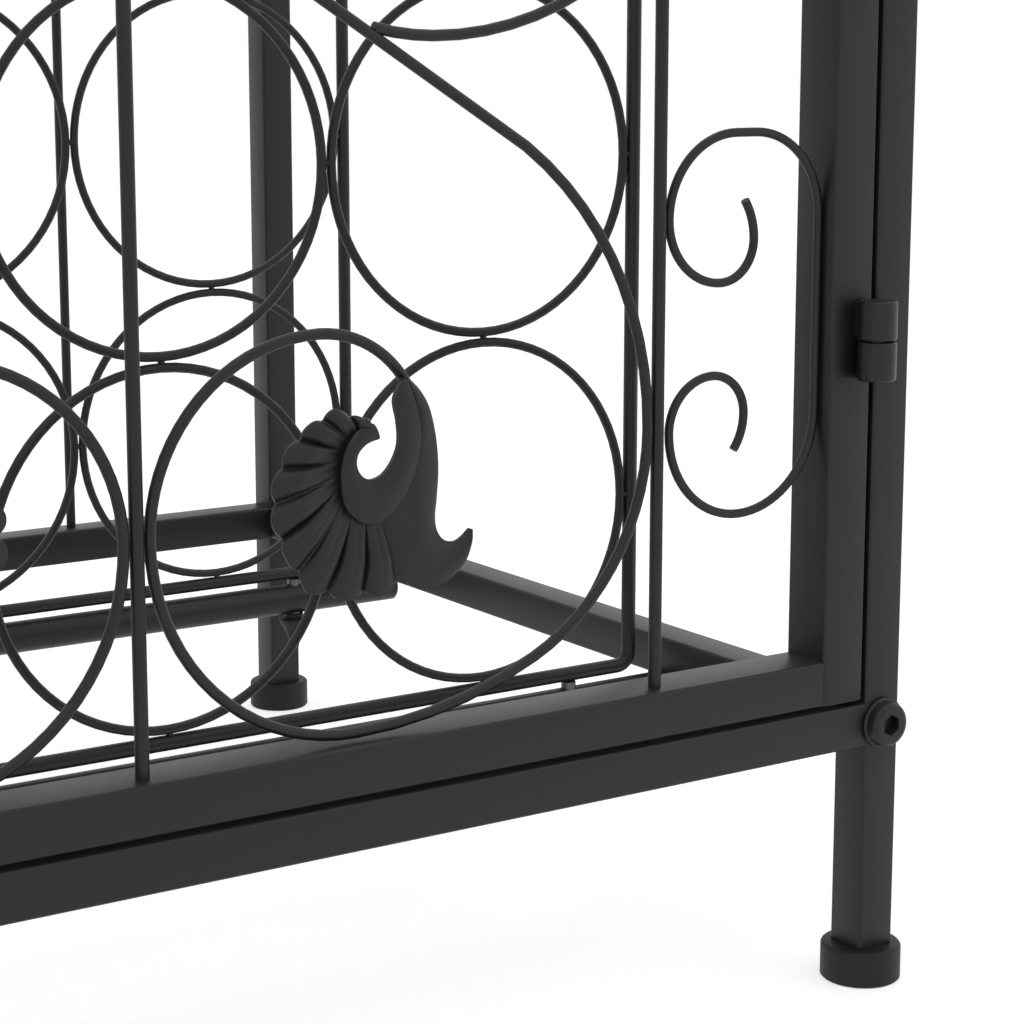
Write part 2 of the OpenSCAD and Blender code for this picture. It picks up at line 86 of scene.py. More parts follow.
def finishGroup():
    # grain and mottling of a coated or moulded surface, in object space
    tree, given, out = newShaderGroup("surfaceFinish", [
        ("Dark Colour", "NodeSocketColor", (0.01, 0.01, 0.01, 1)),
        ("Light Colour", "NodeSocketColor", (0.02, 0.02, 0.02, 1)),
        ("Mottle Scale", "NodeSocketFloat", 20.0),
        ("Grain Scale", "NodeSocketFloat", 900.0),
        ("Low Roughness", "NodeSocketFloat", 0.35),
        ("High Roughness", "NodeSocketFloat", 0.5)],
        [("Colour", "NodeSocketColor"), ("Roughness", "NodeSocketFloat"), ("Height", "NodeSocketFloat")])
    where = tree.nodes.new("ShaderNodeTexCoord").outputs["Object"]
    mottle = noiseNode(tree, where, given.outputs["Mottle Scale"], 4)
    grain = noiseNode(tree, where, given.outputs["Grain Scale"], 2)
    blend = tree.nodes.new("ShaderNodeMix")
    blend.data_type = "RGBA"
    tree.links.new(mottle, blend.inputs["Factor"])
    tree.links.new(given.outputs["Dark Colour"], blend.inputs["A"])
    tree.links.new(given.outputs["Light Colour"], blend.inputs["B"])
    both = tree.nodes.new("ShaderNodeMath")
    both.operation = "ADD"
    tree.links.new(grain, both.inputs[0])
    tree.links.new(mottle, both.inputs[1])
    half = tree.nodes.new("ShaderNodeMath")
    half.operation = "MULTIPLY"
    half.inputs[1].default_value = 0.5
    tree.links.new(both.outputs[0], half.inputs[0])
    rough = mapRange(tree, half.outputs[0], given.outputs["Low Roughness"], given.outputs["High Roughness"])
    tree.links.new(blend.outputs["Result"], out.inputs["Colour"])
    tree.links.new(rough, out.inputs["Roughness"])
    tree.links.new(grain, out.inputs["Height"])
    return tree


def topSheenGroup():
    # painted highlight: up-facing faces get a lighter colour in noise patches, standing in for the light
    # from above
    tree, given, out = newShaderGroup("paintedTopSheen", [
        ("Plain Colour", "NodeSocketColor", (0.01, 0.01, 0.01, 1)),
        ("Sheen Colour", "NodeSocketColor", (0.04, 0.04, 0.04, 1)),
        ("Patch Scale", "NodeSocketFloat", 35.0),
        ("Amount", "NodeSocketFloat", 0.5)],
        [("Colour", "NodeSocketColor"), ("Mask", "NodeSocketFloat")])
    where = tree.nodes.new("ShaderNodeTexCoord")
    split = tree.nodes.new("ShaderNodeSeparateXYZ")
    tree.links.new(where.outputs["Normal"], split.inputs["Vector"])
    facing = tree.nodes.new("ShaderNodeMapRange")
    facing.inputs["From Min"].default_value = 0.35
    facing.inputs["From Max"].default_value = 1.0
    tree.links.new(split.outputs["Z"], facing.inputs["Value"])
    patches = noiseNode(tree, where.outputs["Object"], given.outputs["Patch Scale"], 5)
    mask = facing.outputs["Result"]
    for factor in (patches, given.outputs["Amount"]):
        times = tree.nodes.new("ShaderNodeMath")
        times.operation = "MULTIPLY"
        tree.links.new(mask, times.inputs[0])
        tree.links.new(factor, times.inputs[1])
        mask = times.outputs[0]
    blend = tree.nodes.new("ShaderNodeMix")
    blend.data_type = "RGBA"
    tree.links.new(mask, blend.inputs["Factor"])
    tree.links.new(given.outputs["Plain Colour"], blend.inputs["A"])
    tree.links.new(given.outputs["Sheen Colour"], blend.inputs["B"])
    tree.links.new(blend.outputs["Result"], out.inputs["Colour"])
    tree.links.new(mask, out.inputs["Mask"])
    return tree


def finishMaterial(name, group, topSheen, look):
    material = bpy.data.materials.new(name)
    material.use_nodes = True
    tree = material.node_tree
    shader = tree.nodes["Principled BSDF"]
    finish = tree.nodes.new("ShaderNodeGroup")
    finish.node_tree = group
    finish.inputs["Dark Colour"].default_value = (*look["dark"], 1)
    finish.inputs["Light Colour"].default_value = (*look["light"], 1)
    finish.inputs["Mottle Scale"].default_value = look["mottleScale"]
    finish.inputs["Grain Scale"].default_value = look["grainScale"]
    finish.inputs["Low Roughness"].default_value = look["roughness"][0]
    finish.inputs["High Roughness"].default_value = look["roughness"][1]
    bump = tree.nodes.new("ShaderNodeBump")
    bump.inputs["Strength"].default_value = look["bump"]
    bump.inputs["Distance"].default_value = look["bumpDepth"]
    tree.links.new(finish.outputs["Height"], bump.inputs["Height"])
    # painted highlight: a lighter colour laid over the finish on up-facing faces
    topSheenNode = tree.nodes.new("ShaderNodeGroup")
    topSheenNode.node_tree = topSheen
    topSheenNode.inputs["Sheen Colour"].default_value = (*look["topSheen"], 1)
    topSheenNode.inputs["Amount"].default_value = look["topSheenAmount"]
    tree.links.new(finish.outputs["Colour"], topSheenNode.inputs["Plain Colour"])
    tree.links.new(topSheenNode.outputs["Colour"], shader.inputs["Base Color"])
    tree.links.new(finish.outputs["Roughness"], shader.inputs["Roughness"])
    tree.links.new(bump.outputs["Normal"], shader.inputs["Normal"])
    shader.inputs["Metallic"].default_value = look["metallic"]
    shader.inputs["Specular IOR Level"].default_value = look["specular"]
    return material


# in each look, the third colour and the last amount give the painted highlight on up-facing faces
powderLook = {
    "dark": (0.0085, 0.0100, 0.0095), "light": (0.0130, 0.0145, 0.0140), "topSheen": (0.035, 0.036, 0.039),
    "mottleScale": 22.0, "grainScale": 1100.0, "roughness": (0.36, 0.47),
    "bump": 0.12, "bumpDepth": 0.00025, "metallic": 0.0, "specular": 0.33, "topSheenAmount": 1.2,
}
plasticLook = {
    "dark": (0.0065, 0.0072, 0.0070), "light": (0.0110, 0.0118, 0.0116), "topSheen": (0.020, 0.021, 0.022),
    "mottleScale": 60.0, "grainScale": 2600.0, "roughness": (0.48, 0.62),
    "bump": 0.22, "bumpDepth": 0.0002, "metallic": 0.0, "specular": 0.3, "topSheenAmount": 0.8,
}
zincLook = {
    "dark": (0.10, 0.10, 0.105), "light": (0.17, 0.17, 0.175), "topSheen": (0.13, 0.13, 0.13),
    "mottleScale": 300.0, "grainScale": 2200.0, "roughness": (0.34, 0.5),
    "bump": 0.15, "bumpDepth": 0.0001, "metallic": 0.9, "specular": 0.5, "topSheenAmount": 0.3,
}
finish = finishGroup()
# the painted highlight on up-facing faces, shared by all three materials
topSheen = topSheenGroup()
powderCoat = finishMaterial("powderCoat", finish, topSheen, powderLook)
blackPlastic = finishMaterial("blackPlastic", finish, topSheen, plasticLook)
zincSteel = finishMaterial("zincSteel", finish, topSheen, zincLook)
print("materials made")


# mesh helpers: every size below is in millimetres and becomes metres here

def meshObject(name, points, faces, material, body=None, replaced=(), smooth=35):
    mesh = bpy.data.meshes.new(name)
    mesh.from_pydata([Vector(p) * mm for p in points], [], faces)
    mesh.validate()
    mesh.update()
    piece = bpy.data.objects.new(name, mesh)
    bpy.context.collection.objects.link(piece)
    return dress(piece, material, body, replaced, smooth)


def dress(piece, material, body, replaced, smooth=35):
    if not piece.data.materials:
        piece.data.materials.append(material)
    piece.data.polygons.foreach_set("use_smooth", [True] * len(piece.data.polygons))
    piece.data.set_sharp_from_angle(angle=math.radians(smooth))
    if body:
        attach(piece, body)
    if replaced:
        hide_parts(*replaced)
    return piece


def outwards(points, faces):
    # turns every face of a closed shell to look out
    bm = bmesh.new()
    made = [bm.verts.new(p) for p in points]
    for face in faces:
        bm.faces.new([made[i] for i in face])
    bmesh.ops.recalc_face_normals(bm, faces=bm.faces)
    bm.verts.index_update()
    result = [[v.index for v in face.verts] for face in bm.faces]
    bm.free()
    return result


def stackedRings(rings):
    # a closed skin over rings of equally many points, each end closed by a fan
    n = len(rings[0])
    points = [p for ring in rings for p in ring]
    faces = []
    for i in range(len(rings) - 1):
        for j in range(n):
            k = (j + 1) % n
            faces.append([i * n + j, i * n + k, (i + 1) * n + k, (i + 1) * n + j])
    for start in (0, (len(rings) - 1) * n):
        middle = sum((Vector(points[start + j]) for j in range(n)), Vector()) / n
        points.append(middle)
        faces += [[start + j, start + (j + 1) % n, len(points) - 1] for j in range(n)]
    return points, outwards(points, faces)


def lathe(profile, sides=48, hexRings=()):
    # profile holds (radius, height) from bottom to top; rings named in hexRings are hexagons
    rings = []
    for i, (radius, height) in enumerate(profile):
        ring = []
        for j in range(sides):
            a = 2 * math.pi * j / sides
            r = radius
            if i in hexRings:
                r = radius * math.cos(math.pi / 6) / math.cos((a % (math.pi / 3)) - math.pi / 6)
            ring.append(Vector((r * math.cos(a), r * math.sin(a), height)))
        rings.append(ring)
    return stackedRings(rings)


def roundedBar(low, high, radius, along, steps=3):
    # a bar with its long edges rounded; along is its axis, or None to round all edges
    bm = bmesh.new()
    bmesh.ops.create_cube(bm, size=1)
    size = high - low
    for v in bm.verts:
        v.co = Vector((low[i] + (v.co[i] + 0.5) * size[i] for i in range(3)))
    edges = [e for e in bm.edges if along is None
             or abs((e.verts[0].co - e.verts[1].co).normalized()[along]) > 0.9]
    bmesh.ops.bevel(bm, geom=edges, offset=radius, segments=steps, profile=0.5, affect="EDGES")
    bmesh.ops.recalc_face_normals(bm, faces=bm.faces)
    bm.verts.index_update()
    points = [v.co.copy() for v in bm.verts]
    faces = [[v.index for v in f.verts] for f in bm.faces]
    bm.free()
    return points, faces


def joined(*shapes):
    points, faces = [], []
    for somePoints, someFaces in shapes:
        start = len(points)
        points += list(somePoints)
        faces += [[start + i for i in face] for face in someFaces]
    return points, faces


# geometry node trees

def newGeometryTree(name, inputs):
    tree = bpy.data.node_groups.new(name, "GeometryNodeTree")
    tree.interface.new_socket(name="Geometry", in_out="INPUT", socket_type="NodeSocketGeometry")
    for label, kind in inputs:
        tree.interface.new_socket(name=label, in_out="INPUT", socket_type=kind)
    tree.interface.new_socket(name="Geometry", in_out="OUTPUT", socket_type="NodeSocketGeometry")
    return tree, tree.nodes.new("NodeGroupInput"), tree.nodes.new("NodeGroupOutput")


def closeTree(tree, given, out, geometry):
    realize = tree.nodes.new("GeometryNodeRealizeInstances")
    paint = tree.nodes.new("GeometryNodeSetMaterial")
    tree.links.new(geometry, realize.inputs["Geometry"])
    tree.links.new(realize.outputs["Geometry"], paint.inputs["Geometry"])
    tree.links.new(given.outputs["Material"], paint.inputs["Material"])
    tree.links.new(paint.outputs["Geometry"], out.inputs["Geometry"])


def wireTree():
    # skins each chain of edges with a round wire
    tree, given, out = newGeometryTree("wireSkin", [
        ("Wire Radius", "NodeSocketFloat"), ("Sides", "NodeSocketInt"), ("Material", "NodeSocketMaterial")])
    route = tree.nodes.new("GeometryNodeMeshToCurve")
    section = tree.nodes.new("GeometryNodeCurvePrimitiveCircle")
    skin = tree.nodes.new("GeometryNodeCurveToMesh")
    skin.inputs["Fill Caps"].default_value = True
    tree.links.new(given.outputs["Geometry"], route.inputs["Mesh"])
    tree.links.new(given.outputs["Wire Radius"], section.inputs["Radius"])
    tree.links.new(given.outputs["Sides"], section.inputs["Resolution"])
    tree.links.new(route.outputs["Curve"], skin.inputs["Curve"])
    tree.links.new(section.outputs["Curve"], skin.inputs["Profile Curve"])
    closeTree(tree, given, out, skin.outputs["Mesh"])
    return tree


def copyTree():
    # puts a copy of one object on each point, turned by the point's turn
    tree, given, out = newGeometryTree("placeCopies", [
        ("Copy", "NodeSocketObject"), ("Material", "NodeSocketMaterial")])
    info = tree.nodes.new("GeometryNodeObjectInfo")
    place = tree.nodes.new("GeometryNodeInstanceOnPoints")
    turn = tree.nodes.new("GeometryNodeInputNamedAttribute")
    turn.data_type = "FLOAT_VECTOR"
    turn.inputs["Name"].default_value = "turn"
    euler = tree.nodes.new("FunctionNodeEulerToRotation")
    tree.links.new(given.outputs["Copy"], info.inputs["Object"])
    tree.links.new(given.outputs["Geometry"], place.inputs["Points"])
    tree.links.new(info.outputs["Geometry"], place.inputs["Instance"])
    tree.links.new(turn.outputs["Attribute"], euler.inputs["Euler"])
    tree.links.new(euler.outputs["Rotation"], place.inputs["Rotation"])
    closeTree(tree, given, out, place.outputs["Instances"])
    return tree


wireSkin = wireTree()
placeCopies = copyTree()


def runTree(name, source, tree, values, body, replaced, smooth=35):
    # evaluates a tree on the source object and keeps the result as a plain mesh
    modifier = source.modifiers.new("build", "NODES")
    modifier.node_group = tree
    sockets = {s.name: s.identifier for s in tree.interface.items_tree if s.in_out == "INPUT"}
    for label, value in values.items():
        modifier[sockets[label]] = value
    graph = bpy.context.evaluated_depsgraph_get()
    mesh = bpy.data.meshes.new_from_object(source.evaluated_get(graph), depsgraph=graph)
    mesh.name = name
    bpy.data.objects.remove(source)
    piece = bpy.data.objects.new(name, mesh)
    bpy.context.collection.objects.link(piece)
    return dress(piece, values["Material"], body, replaced, smooth)


def wires(name, routes, radius, body, replaced, sides=14, material=powderCoat):
    # each route is a list of points; a route whose ends meet is closed
    points, edges = [], []
    for route in routes:
        start = len(points)
        closed = (Vector(route[0]) - Vector(route[-1])).length < 0.01
        keep = route[:-1] if closed else route
        points += [Vector(p) * mm for p in keep]
        edges += [(start + i, start + i + 1) for i in range(len(keep) - 1)]
        if closed:
            edges.append((len(points) - 1, start))
    mesh = bpy.data.meshes.new(name + "Route")
    mesh.from_pydata(points, edges, [])
    source = bpy.data.objects.new(name + "Route", mesh)
    bpy.context.collection.objects.link(source)
    values = {"Wire Radius": radius * mm, "Sides": sides, "Material": material}
    return runTree(name, source, wireSkin, values, body, replaced, 50)


def copies(name, shape, places, body, replaced, material, smooth=35):
    # places holds (point, turn) pairs; shape stands at the origin
    model = meshObject(name + "Model", *shape, material, smooth=smooth)
    mesh = bpy.data.meshes.new(name + "Points")
    mesh.from_pydata([Vector(p) * mm for p, turn in places], [], [])
    turns = mesh.attributes.new("turn", "FLOAT_VECTOR", "POINT")
    for i, (point, turn) in enumerate(places):
        turns.data[i].vector = turn
    source = bpy.data.objects.new(name + "Points", mesh)
    bpy.context.collection.objects.link(source)
    piece = runTree(name, source, placeCopies, {"Copy": model, "Material": material}, body, replaced, smooth)
    bpy.data.objects.remove(model)
    return piece


print("tools ready")


# square tubes of the cabinet and the door frame

tubeLook = {"corner": 0.9, "doorCorner": 0.8, "capCorner": 0.5}
postNodes = ["front_left_post", "front_right_post", "rear_left_post", "rear_right_post"]
crossRails = ["front_bottom_rail", "front_top_rail", "rear_bottom_rail", "rear_top_rail"]
sideRails = ["left_bottom_rail", "right_bottom_rail", "left_top_rail", "right_top_rail"]


def barFor(node, body, along, radius):
    low, high = span(node)
    meshObject(node + "Tube", *roundedBar(low / mm, high / mm, radius, along), powderCoat, body, [node])


for node in postNodes:
    barFor(node, "frame", 2, tubeLook["corner"])
for node in crossRails:
    barFor(node, "frame", 0, tubeLook["corner"])
for node in sideRails:
    barFor(node, "frame", 1, tubeLook["corner"])
for node in ("latch_stile", "hinge_stile"):
    barFor(node, "door", 2, tubeLook["doorCorner"])
for node in ("door_bottom_rail", "door_top_rail"):
    barFor(node, "door", 0, tubeLook["doorCorner"])
print("square tubes done")


# where things are, from the frame

postLow, postHigh = (v / mm for v in span("front_right_post"))
tube = postHigh.x - postLow.x
postX = (postHigh.x + postLow.x) / 2
frontY = postLow.y
rearY = -frontY
postMidY = frontY + tube / 2
bottomRailLow, bottomRailHigh = (v / mm for v in span("front_bottom_rail"))
topRailLow, topRailHigh = (v / mm for v in span("front_top_rail"))
corners = [(x * postX, y * postMidY) for x in (1, -1) for y in (1, -1)]


# feet, post caps, bolts, nuts

footLook = {"fillet": 1.1, "foot": 0.5}


def footShape():
    low, high = (v / mm for v in span("front_left_foot"))
    r, h, f, b = (high.x - low.x) / 2, high.z - low.z, footLook["fillet"], footLook["foot"]
    profile = [(r - b, 0), (r, b)]
    for i in range(6):
        a = math.pi / 2 * i / 5
        profile.append((r - f + f * math.cos(a), h - f + f * math.sin(a)))
    return lathe(profile, 64)


copies("rackFeet", footShape(), [((x, y, 0), (0, 0, 0)) for x, y in corners], "frame",
       ["front_left_foot", "front_right_foot", "rear_left_foot", "rear_right_foot"], blackPlastic)


def capShape():
    low, high = (v / mm for v in span("post_caps"))
    h = tube / 2
    top = high.z
    thick = top - postHigh.z
    return roundedBar(Vector((-h, -h, -thick)), Vector((h, h, 0)), tubeLook["capCorner"], None)


capTop = span("post_caps")[1].z / mm
copies("postCaps", capShape(), [((x, y, capTop), (0, 0, 0)) for x, y in corners], "frame",
       ["post_caps"], blackPlastic)

boltLook = {"flange": 13.9, "face": 11.3, "height": 4.1, "hex": 5.8, "socket": 2.8}


def boltShape():
    r, f, h, x = (boltLook[k] for k in ("flange", "face", "height", "hex"))
    r, f, x = r / 2, f / 2, x / 2
    profile = [(r - 0.3, 0), (r, 0.25), (r, 0.75), (r - 0.3, 1.05), (r - 0.75, 1.15)]
    for i in range(6):          # the button's shoulder
        a = math.radians(15 + 13 * i)
        profile.append((f - 1.2 + 1.6 * math.cos(a), h - 1.5 + 1.5 * math.sin(a)))
    hexStart = len(profile) + 1
    profile += [(f - 1.5, h), (x + 0.25, h), (x, h - 0.25), (x, h - boltLook["socket"])]
    return lathe(profile, 48, range(hexStart, hexStart + 3))


boltZ = [(bottomRailLow.z + bottomRailHigh.z) / 2, (topRailLow.z + topRailHigh.z) / 2]
boltPlaces = []
for x in (-postX, postX):
    for z in boltZ:
        boltPlaces.append(((x, frontY, z), (math.pi / 2, math.pi / 6, 0)))
        boltPlaces.append(((x, rearY, z), (-math.pi / 2, math.pi / 6, 0)))
copies("frameBolts", boltShape(), boltPlaces, "frame", ["frame_bolts"], powderCoat)


def coneShape():
    low, high = (v / mm for v in span("cone_nuts"))
    return [(1.2, -12.4), (1.5, -12.2), (1.7, -11), (2.2, -8.8), (2.95, -6.8), (3.9, -4.9), (4.7, -3.4),
            (5.15, -2.5), (5.35, -2.1), (5.35, -1.85), (5.1, -1.6), (3.2, -1.6), (3.2, 0)]


nutLow, nutHigh = (v / mm for v in span("cone_nuts"))
studX = nutHigh.x - 5.35
rackYs = [(span(n)[0].y + span(n)[1].y) / 2 / mm for n in ("front_rack_frame", "rear_rack_frame")]
nutPlaces = [((x, y, nutHigh.z), (0, 0, 0)) for x in (-studX, studX) for y in rackYs]
copies("coneNuts", lathe(coneShape(), 40), nutPlaces, "frame", ["cone_nuts"], blackPlastic)

capNutProfile = [(3.9, 0), (4.0, 0.15), (4.0, 2.8), (3.75, 3.0), (3.3, 3.05), (3.1, 3.9), (2.6, 4.7),
                 (1.8, 5.2), (0.8, 5.4)]
topNutZ = span("cap_nuts")[0].z / mm
copies("capNuts", lathe(capNutProfile, 48, range(0, 4)),
       [((x, y, topNutZ), (0, 0, 0)) for x in (-studX, studX) for y in rackYs],
       "frame", ["cap_nuts"], zincSteel)
print("feet and fasteners done")


# bottle racks

rackLook = {"columns": 4, "rows": 9, "cornerBend": 4.0, "ringSteps": 72, "bead": 0.95}
ringWire = (span("front_rack_rings")[1].y - span("front_rack_rings")[0].y) / mm


def ringGridTree():
    # a grid of wire rings, standing in the XZ plane
    tree, given, out = newGeometryTree("ringGrid", [
        ("Ring Radius", "NodeSocketFloat"), ("Wire Radius", "NodeSocketFloat"),
        ("Columns", "NodeSocketInt"), ("Rows", "NodeSocketInt"),
        ("Width", "NodeSocketFloat"), ("Height", "NodeSocketFloat"),
        ("Place", "NodeSocketVector"), ("Material", "NodeSocketMaterial")])
    grid = tree.nodes.new("GeometryNodeMeshGrid")
    circle = tree.nodes.new("GeometryNodeCurvePrimitiveCircle")
    section = tree.nodes.new("GeometryNodeCurvePrimitiveCircle")
    skin = tree.nodes.new("GeometryNodeCurveToMesh")
    place = tree.nodes.new("GeometryNodeInstanceOnPoints")
    stand = tree.nodes.new("GeometryNodeTransform")
    circle.inputs["Resolution"].default_value = rackLook["ringSteps"]
    section.inputs["Resolution"].default_value = 12
    stand.inputs["Rotation"].default_value = (math.pi / 2, 0, 0)
    link = tree.links.new
    link(given.outputs["Width"], grid.inputs["Size X"])
    link(given.outputs["Height"], grid.inputs["Size Y"])
    link(given.outputs["Columns"], grid.inputs["Vertices X"])
    link(given.outputs["Rows"], grid.inputs["Vertices Y"])
    link(given.outputs["Ring Radius"], circle.inputs["Radius"])
    link(given.outputs["Wire Radius"], section.inputs["Radius"])
    link(circle.outputs["Curve"], skin.inputs["Curve"])
    link(section.outputs["Curve"], skin.inputs["Profile Curve"])
    link(grid.outputs["Mesh"], place.inputs["Points"])
    link(skin.outputs["Mesh"], place.inputs["Instance"])
    link(place.outputs["Instances"], stand.inputs["Geometry"])
    link(given.outputs["Place"], stand.inputs["Translation"])
    closeTree(tree, given, out, stand.outputs["Geometry"])
    return tree


ringGrid = ringGridTree()


def rack(side):
    ringLow, ringHigh = (v / mm for v in span(side + "_rack_rings"))
    frameLow, frameHigh = (v / mm for v in span(side + "_rack_frame"))
    columns, rows = rackLook["columns"], rackLook["rows"]
    y = (frameLow.y + frameHigh.y) / 2
    wire = frameHigh.y - frameLow.y
    pitch = (frameHigh.x - frameLow.x - 2 * wire) / columns
    ringD = ringHigh.x - ringLow.x - (columns - 1) * pitch
    middle = (ringLow + ringHigh) / 2
    holder = bpy.data.objects.new(side + "Rings", bpy.data.meshes.new(side + "Rings"))
    bpy.context.collection.objects.link(holder)
    runTree(side + "RackRings", holder, ringGrid, {
        "Ring Radius": (ringD - ringWire) / 2 * mm, "Wire Radius": ringWire / 2 * mm,
        "Columns": columns, "Rows": rows,
        "Width": (columns - 1) * pitch * mm, "Height": (rows - 1) * pitch * mm,
        "Place": (0, y * mm, middle.z * mm), "Material": powderCoat},
        "frame", [side + "_rack_rings"], 60)
    half = Vector((frameHigh.x - wire / 2, 0, (frameHigh.z - frameLow.z) / 2 - wire / 2))
    centre = Vector((0, y, (frameHigh.z + frameLow.z) / 2))
    bend = rackLook["cornerBend"]
    route = []
    for cornerX, cornerZ, turn in ((1, 1, 0), (-1, 1, 90), (-1, -1, 180), (1, -1, 270)):
        pivot = centre + Vector((cornerX * (half.x - bend), 0, cornerZ * (half.z - bend)))
        for i in range(7):
            a = math.radians(turn + 15 * i)
            route.append(pivot + Vector((bend * math.cos(a), 0, bend * math.sin(a))))
    route.append(route[0])
    wires(side + "RackFrame", [route], wire / 2, "frame", [side + "_rack_frame"], 16)
    beads = []
    for column in range(columns + 1):
        for row in range(rows):
            beads.append((ringLow.x + column * pitch - 0.1, y, ringLow.z + (row + 0.5) * pitch))
    for column in range(columns):
        for row in range(rows + 1):
            beads.append((ringLow.x + (column + 0.5) * pitch, y, ringLow.z + row * pitch - 0.1))
    return beads


def ball(radius, long):
    # a weld bead, drawn out along Y
    profile = [(radius * math.sin(math.pi * i / 6), -long * math.cos(math.pi * i / 6)) for i in range(1, 6)]
    return lathe(profile, 8)


rackBeads = rack("front") + rack("rear")
copies("rackWelds", ball(rackLook["bead"], 1.1), [(p, (math.pi / 2, 0, 0)) for p in rackBeads],
       "frame", [], powderCoat, 60)
print("bottle racks done")


# crossbars and rear rods

def openTube(low, high, wall):
    # a round tube along X with open ends
    r = (high.y - low.y) / 2
    rings = [(r, 0.25), (r - 0.25, 0), (r - wall, 0), (r - wall, 12)]
    mid = (low + high) / 2
    length = high.x - low.x
    points, faces = [], []
    sides = 32
    outer = [(radius, low.x + inset) for radius, inset in reversed(rings)]
    outer += [(radius, low.x + length - inset) for radius, inset in rings]
    for radius, x in outer:
        for j in range(sides):
            a = 2 * math.pi * j / sides
            points.append(Vector((x, mid.y + radius * math.cos(a), mid.z + radius * math.sin(a))))
    for i in range(len(outer) - 1):
        for j in range(sides):
            k = (j + 1) % sides
            faces.append([i * sides + j, i * sides + k, (i + 1) * sides + k, (i + 1) * sides + j])
    faces.append(list(range(sides)))
    faces.append([(len(outer) - 1) * sides + j for j in range(sides)])
    return points, outwards(points, faces)


for node in ("front_lower_crossbar", "rear_lower_crossbar", "front_upper_crossbar", "rear_upper_crossbar"):
    low, high = span(node)
    meshObject(node + "Tube", *openTube(low / mm, high / mm, 1.0), powderCoat, "frame", [node])


def rodShape(node):
    low, high = (v / mm for v in span(node))
    return low, high


rodLow, rodHigh = rodShape("rear_rods")
rearRod = rodHigh.y - rodLow.y
rearRodPitch = (rodHigh.x - rodLow.x - rearRod) / 3
rearRods = []
for i in range(4):
    x = rodLow.x + rearRod / 2 + i * rearRodPitch
    rearRods.append([(x, (rodLow.y + rodHigh.y) / 2, z) for z in (rodLow.z, rodHigh.z)])
wires("rearRods", rearRods, rearRod / 2, "frame", ["rear_rods"], 16)
print("crossbars and rear rods done")


# door wires: arcs are [radius, turn in degrees], straights [length, 0], as drawn for a given width

scrollWire = {
    "arcs": [[27, 60], [43, 90], [51.4, 90], [120, 25], [59, 65], [86, 55], [560, 7],
             [77.6, -62], [68.1, -180], [33, 0], [40, -62], [88, -28], [70, -13]],
    "drawnWidth": 136.2, "start": (66.4, 81.1), "heading": 120,
}
curlWire = {
    "arcs": [[16.6, -35], [10.3, -90], [15.9, -90], [20.4, -90], [6, 0], [20.3, -90], [49.9, 0],
             [24, -90], [22, -90], [13.2, -90], [10, -90], [14.5, -38]],
    "drawnWidth": 46.7, "start": (23.2, 30.6), "heading": -55,
}
wireStep = 5          # degrees between two points of a bent wire


def bentRoute(wire, origin, scale, y):
    x, z = origin[0] + wire["start"][0] * scale, origin[1] + wire["start"][1] * scale
    h = math.radians(wire["heading"])
    route = [(x, y, z)]
    for radius, turn in wire["arcs"]:
        r = radius * scale
        if turn == 0:
            x, z = x + r * math.cos(h), z + r * math.sin(h)
            route.append((x, y, z))
            continue
        side = math.copysign(1, turn)
        steps = max(1, round(abs(turn) / wireStep))
        for i in range(1, steps + 1):
            a = h + math.radians(turn) * i / steps
            route.append((x + side * r * (math.sin(a) - math.sin(h)), y,
                          z + side * r * (math.cos(h) - math.cos(a))))
        x, z = route[-1][0], route[-1][2]
        h += math.radians(turn)
    return route


doorLow = span("latch_stile")[0] / mm
doorHigh = span("hinge_stile")[1] / mm
doorMidZ = (doorLow.z + doorHigh.z) / 2
railTop = span("door_bottom_rail")[1].z / mm
scrollLow, scrollHigh = (v / mm for v in span("lower_right_scroll"))
wireY = (scrollLow.y + scrollHigh.y) / 2


def flipped(route, left, upper):
    return [(-x if left else x, y, 2 * doorMidZ - z if upper else z) for x, y, z in route]


quarters = [(left, upper) for upper in (False, True) for left in (True, False)]


def quarterName(left, upper):
    return ("upper" if upper else "lower") + ("_left_" if left else "_right_")


scrollR = (scrollHigh.y - scrollLow.y) / 2
scrollScale = (scrollHigh.x - scrollLow.x - 2 * scrollR) / scrollWire["drawnWidth"]
scrollRoute = bentRoute(scrollWire, (scrollLow.x + scrollR, scrollLow.z + scrollR), scrollScale, wireY)
for left, upper in quarters:
    node = quarterName(left, upper) + "scroll"
    wires(node + "Wire", [flipped(scrollRoute, left, upper)], scrollR, "door", [node], 20)

curlLow, curlHigh = (v / mm for v in span("lower_right_curl"))
curlR = (curlHigh.y - curlLow.y) / 2
curlScale = (curlHigh.x - curlLow.x - 2 * curlR) / curlWire["drawnWidth"]
for left, upper in quarters:
    node = quarterName(left, upper) + "curl"
    curlMid = (curlLow.z + curlHigh.z) / 2 - 0.1
    route = bentRoute(curlWire, (curlLow.x + curlR, curlMid), curlScale, wireY)
    wires(node + "Wire", [flipped(route, left, upper)], curlR, "door", [node], 18)
for left in (True, False):
    node = "middle_left_curl" if left else "middle_right_curl"
    low, high = (v / mm for v in span(node))
    route = bentRoute(curlWire, (curlLow.x + curlR, (low.z + high.z) / 2 - 0.1), curlScale, wireY)
    wires(node + "Wire", [flipped(route, left, False)], curlR, "door", [node], 18)


def circleRoute(x, z, radius, steps=96):
    turns = [2 * math.pi * i / steps for i in range(steps)] + [0]
    return [(x + radius * math.cos(a), wireY, z + radius * math.sin(a)) for a in turns]


